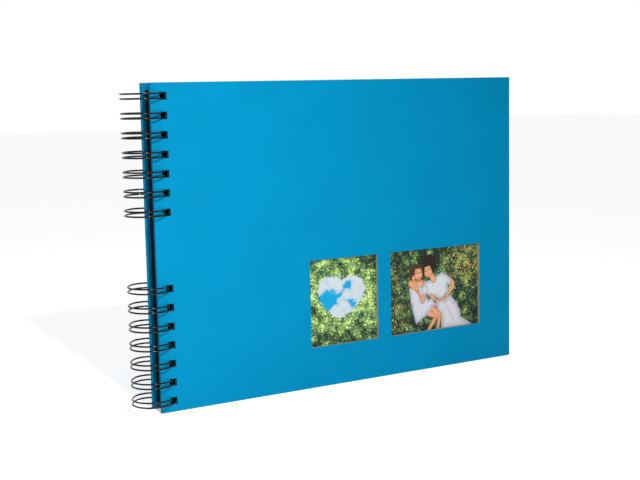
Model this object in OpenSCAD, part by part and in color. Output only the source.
// Wire-bound scrapbook album, landscape, standing on the bottom edges of its covers.
// X runs from the rings to the fore edge, Y from the front cover to the back cover, Z up.

/* [Covers] */
// Cover width, spine edge to fore edge
cover_w = 300; // [292:1:320]
// Cover height
cover_h = 219.5; // [219.5:0.5:230]
// Thickness of the front cover, made up of wrap, board and pocket card
front_cover_t = 3; // [2.6:0.1:3.4]
// Thickness of the back cover
back_cover_t = 2.5; // [2.2:0.1:3]
// Thickness of the coloured paper wrapped round each board
wrap_t = 0.25; // [0.2:0.05:0.35]
// Width of the wrap turned in over the inside of the board
turn_in = 15; // [8:1:18]
// Gap between the lining's edge and the cover's edge
lining_margin = 3; // [2:0.5:5]
// Thickness of the lining where it covers the turned-in wrap
lining_t = 0.35; // [0.25:0.05:0.45]

/* [Windows] */
// Distance from the bottom edge to both windows
window_z = 29.4; // [22:0.1:40]
// Height of both windows
window_h = 62.8; // [50:0.1:80]
// Distance from the wide window to the fore edge
window_right = 30.3; // [22:0.1:36]
// Width of the wide window
wide_window_w = 83.5; // [70:0.5:90]
// Width of the square window
square_window_w = 57.8; // [45:0.1:62]
// Board left standing between the two windows
window_gap = 11.4; // [10:0.1:14]
// Depth of the pocket that holds each print, and thickness of the print
print_t = 0.25; // [0.2:0.05:0.4]
// How far each print reaches past its window, all round
print_lap = 4; // [2:0.5:4.5]

/* [Sheets] */
// Space that each sheet takes in the block
sheet_pitch = 0.6; // [0.55:0.01:0.6]
// Thickness of one sheet
sheet_t = 0.45; // [0.3:0.01:0.5]
// Width of one sheet
sheet_w = 293; // [280:1:293]
// Height of one sheet
sheet_h = 212; // [212:0.5:214]
// Gap between the spine edges of the sheets and of the covers
sheet_inset = 3; // [3:0.1:3.5]
// Height of the sheets' bottom edge above the covers' bottom edge
sheet_lift = 3; // [2.5:0.1:3]

/* [Binding] */
// Radius of a ring, to the middle of the wire
ring_r = 13.8; // [13.6:0.1:14]
// Distance of the rings' centre from the covers' spine edge, on the open side
ring_offset = 2.3; // [2.1:0.1:2.4]
// Diameter of the wire
wire_d = 1.2; // [1:0.1:1.3]
// Spacing of the two wires of a ring
wire_gap = 3.2; // [3:0.1:3.2]
// Height of the lowest hole's centre above the bottom edge
first_hole_z = 7.6; // [7.6:0.1:9]
// Size of the square holes in the covers
cover_hole = 5; // [4.8:0.1:5.2]
// Distance from the covers' spine edge to the middle of their holes
cover_hole_x = 9; // [8.8:0.1:9.2]
// Width of the holes in the sheets
sheet_hole_w = 4.8; // [4.6:0.1:5]
// Height of the holes in the sheets
sheet_hole_h = 4.8; // [4.8:0.1:5]
// Distance from the covers' spine edge to the middle of the sheets' holes
sheet_hole_x = 10.8; // [10.7:0.1:11]
// Place of the rings' seam: angle from the sheets' plane, round towards the back
seam_angle = 50; // [48:1:52]

/* [Hidden] */

// Black card sheets in the block, one for each sheet in the list of nodes.
sheet_count = 20;
// Spacing of the rings: two to the inch, the binding's standard.
ring_pitch = 12.7;
// Rings in each of the two groups, and ring places left empty between them.
rings_per_group = 7;
empty_places = 3;

// The leaves' stack, from the front cover's face to the back cover's face.
// The rings' centre is at the middle of the space between the covers.
leaf_gap = sheet_pitch - sheet_t;
back_inner_y = (sheet_count * sheet_pitch + leaf_gap) / 2;
back_face_y = back_inner_y + back_cover_t;
front_inner_y = -back_inner_y;
front_face_y = front_inner_y - front_cover_t;

// Layers of the front cover, from its face inwards.
front_board_y = front_face_y + wrap_t;
front_board_back_y = front_inner_y - lining_t - wrap_t;

// Layers of the back cover, from the sheets outwards.
back_board_y = back_inner_y + lining_t + wrap_t;
back_board_back_y = back_face_y - wrap_t;

wide_window_x = cover_w - window_right - wide_window_w;
square_window_x = wide_window_x - window_gap - square_window_w;

lower_ring_z = [for (i = [0 : rings_per_group - 1]) first_hole_z + i * ring_pitch];
upper_start_z = first_hole_z + (rings_per_group + empty_places) * ring_pitch;
upper_ring_z = [for (i = [0 : rings_per_group - 1]) upper_start_z + i * ring_pitch];
ring_z = concat(lower_ring_z, upper_ring_z);

// The seam: a ring's looped end stops seam_step short of the bends where it started,
// so its tip lines up with the links that join one ring to the next.
bend_r = wire_gap / 2;
seam_step = 2 * bend_r;
closing_r = ring_r - seam_step;
link_length = ring_pitch - wire_gap - 2 * bend_r;
stub_length = 1.4;

// The frame's origin lies under the middle of the album's outline, in X and in Y.
ring_left = -ring_offset - ring_r - wire_d / 2;
ring_front = -ring_r - wire_d / 2;
ring_back = seam_step * (sin(seam_angle) + cos(seam_angle)) + closing_r + wire_d / 2;
origin_x = (ring_left + cover_w) / 2;
origin_y = (ring_front + ring_back) / 2;

cover_blue = "#0a93cc";
card_black = "#141619";
board_grey = "#8f8776";
wire_black = "#17181a";

// A box given by its lowest corner and its highest corner.
module span_box(low, high) {
    translate(low) cube(high - low);
}

// Square holes at every ring, wider than the layer from y0 to y1.
module punched_holes(middle_x, width, height, y0, y1) {
    for (z = ring_z)
        span_box([middle_x - width / 2, y0 - 1, z - height / 2],
                 [middle_x + width / 2, y1 + 1, z + height / 2]);
}

module cover_holes(y0, y1) {
    punched_holes(cover_hole_x, cover_hole, cover_hole, y0, y1);
}

// Something in each window's place, grown by lap on all four sides.
module square_window(lap, y0, y1) {
    span_box([square_window_x - lap, y0, window_z - lap],
             [square_window_x + square_window_w + lap, y1, window_z + window_h + lap]);
}

module wide_window(lap, y0, y1) {
    span_box([wide_window_x - lap, y0, window_z - lap],
             [wide_window_x + wide_window_w + lap, y1, window_z + window_h + lap]);
}

// A cover-sized layer, held in from the cover's edges by margin.
module layer(margin, y0, y1) {
    span_box([margin, y0, margin], [cover_w - margin, y1, cover_h - margin]);
}

// Paper over a board's face and edges, turned in round the back of it.
// face_y is the outer face, and turned_y the free face of the turned-in strip.
module wrap(face_y, turned_y, board_y0, board_y1) {
    low_y = min(face_y, turned_y);
    high_y = max(face_y, turned_y);
    board_middle_y = (board_y0 + board_y1) / 2;
    difference() {
        layer(0, low_y, high_y);
        layer(wrap_t, board_y0, board_y1);
        layer(turn_in, min(turned_y, board_middle_y), max(turned_y, board_middle_y));
        cover_holes(low_y, high_y);
    }
}

module front_cover_board() {
    color(board_grey) difference() {
        layer(wrap_t, front_board_y, front_board_back_y);
        square_window(0, front_board_y - 1, front_board_back_y + 1);
        wide_window(0, front_board_y - 1, front_board_back_y + 1);
        cover_holes(front_board_y, front_board_back_y);
    }
}

module front_cover_wrap() {
    color(cover_blue) difference() {
        wrap(front_face_y, front_board_back_y + wrap_t, front_board_y, front_board_back_y);
        square_window(0, front_face_y - 1, front_board_y + 1);
        wide_window(0, front_face_y - 1, front_board_y + 1);
    }
}

// The card behind the board: its thicker middle fills the wrap's frame and
// is let in by one print's thickness behind each window.
module front_cover_pocket_card() {
    color(cover_blue) difference() {
        union() {
            layer(turn_in, front_board_back_y, front_inner_y);
            layer(lining_margin, front_board_back_y + wrap_t, front_inner_y);
        }
        square_window(print_lap, front_board_back_y - 1, front_board_back_y + print_t);
        wide_window(print_lap, front_board_back_y - 1, front_board_back_y + print_t);
        cover_holes(front_board_back_y, front_inner_y);
    }
}

module square_window_print() {
    color("#6f9a35") square_window(print_lap, front_board_back_y, front_board_back_y + print_t);
}

module wide_window_print() {
    color("#55702f") wide_window(print_lap, front_board_back_y, front_board_back_y + print_t);
}

module back_cover_board() {
    color(board_grey) difference() {
        layer(wrap_t, back_board_y, back_board_back_y);
        cover_holes(back_board_y, back_board_back_y);
    }
}

module back_cover_wrap() {
    color(cover_blue) wrap(back_face_y, back_board_y - wrap_t, back_board_y, back_board_back_y);
}

module back_cover_lining() {
    color(cover_blue) difference() {
        union() {
            layer(turn_in, back_inner_y, back_board_y);
            layer(lining_margin, back_inner_y, back_board_y - wrap_t);
        }
        cover_holes(back_inner_y, back_board_y);
    }
}

// Sheet number 1 lies next to the front cover.
module sheet(number) {
    y0 = front_inner_y + leaf_gap + (number - 1) * sheet_pitch;
    color(card_black) difference() {
        span_box([sheet_inset, y0, sheet_lift],
                 [sheet_inset + sheet_w, y0 + sheet_t, sheet_lift + sheet_h]);
        punched_holes(sheet_hole_x, sheet_hole_w, sheet_hole_h, y0, y0 + sheet_t);
    }
}

// The round wire at distance r from the Z axis, from one angle to another.
module bent_wire(r, from_angle, to_angle) {
    rotate([0, 0, from_angle])
        rotate_extrude(angle = to_angle - from_angle, $fn = 96)
            translate([r, 0]) circle(d = wire_d, $fn = 24);
}

// One of a ring's two wires, from the seam round to the looped end. The last quarter
// is a little squarer than the rest, which leaves the looped end short of the seam.
module ring_wire() {
    bent_wire(ring_r, 90, 360);
    translate([0, ring_r, 0]) rotate([0, 90, 0]) cylinder(d = wire_d, h = seam_step, $fn = 24);
    translate([seam_step, seam_step, 0]) bent_wire(closing_r, 0, 90);
}

// A bend in the upright plane that touches the ring, centred at [along, height] there.
module upright_bend(along, height, from_angle, to_angle) {
    translate([ring_r, along, height])
        rotate([0, 90, 0]) bent_wire(bend_r, from_angle, to_angle);
}

// One ring: two wires, the loop that joins them, and a bend out of the seam on each side.
module ring() {
    for (side = [-1, 1]) translate([0, 0, side * bend_r]) ring_wire();
    upright_bend(seam_step, 0, 180, 360);
    upright_bend(0, wire_gap, 0, 90);
    upright_bend(0, -wire_gap, 90, 180);
}

// Straight wire along the seam, upwards from height z.
module seam_wire(z, length) {
    translate([ring_r, bend_r, z]) cylinder(d = wire_d, h = length, $fn = 24);
}

// One length of wire, bent into all the rings of a group and cut off past each end.
module wire(heights) {
    top = len(heights) - 1;
    color(wire_black) translate([-ring_offset, 0, 0]) rotate([0, 0, seam_angle]) {
        for (z = heights) translate([0, 0, z]) ring();
        for (i = [0 : top - 1]) seam_wire(heights[i] + wire_gap, link_length);
        seam_wire(heights[0] - wire_gap - stub_length, stub_length);
        seam_wire(heights[top] + wire_gap, stub_length);
    }
}

module in_frame() {
    translate([-origin_x, -origin_y, 0]) children();
}

in_frame() front_cover_board();
in_frame() front_cover_wrap();
in_frame() front_cover_pocket_card();
in_frame() square_window_print();
in_frame() wide_window_print();
in_frame() back_cover_board();
in_frame() back_cover_wrap();
in_frame() back_cover_lining();
in_frame() sheet(1);  // sheet_01
in_frame() sheet(2);  // sheet_02
in_frame() sheet(3);  // sheet_03
in_frame() sheet(4);  // sheet_04
in_frame() sheet(5);  // sheet_05
in_frame() sheet(6);  // sheet_06
in_frame() sheet(7);  // sheet_07
in_frame() sheet(8);  // sheet_08
in_frame() sheet(9);  // sheet_09
in_frame() sheet(10);  // sheet_10
in_frame() sheet(11);  // sheet_11
in_frame() sheet(12);  // sheet_12
in_frame() sheet(13);  // sheet_13
in_frame() sheet(14);  // sheet_14
in_frame() sheet(15);  // sheet_15
in_frame() sheet(16);  // sheet_16
in_frame() sheet(17);  // sheet_17
in_frame() sheet(18);  // sheet_18
in_frame() sheet(19);  // sheet_19
in_frame() sheet(20);  // sheet_20
in_frame() wire(upper_ring_z);  // upper_wire
in_frame() wire(lower_ring_z);  // lower_wire
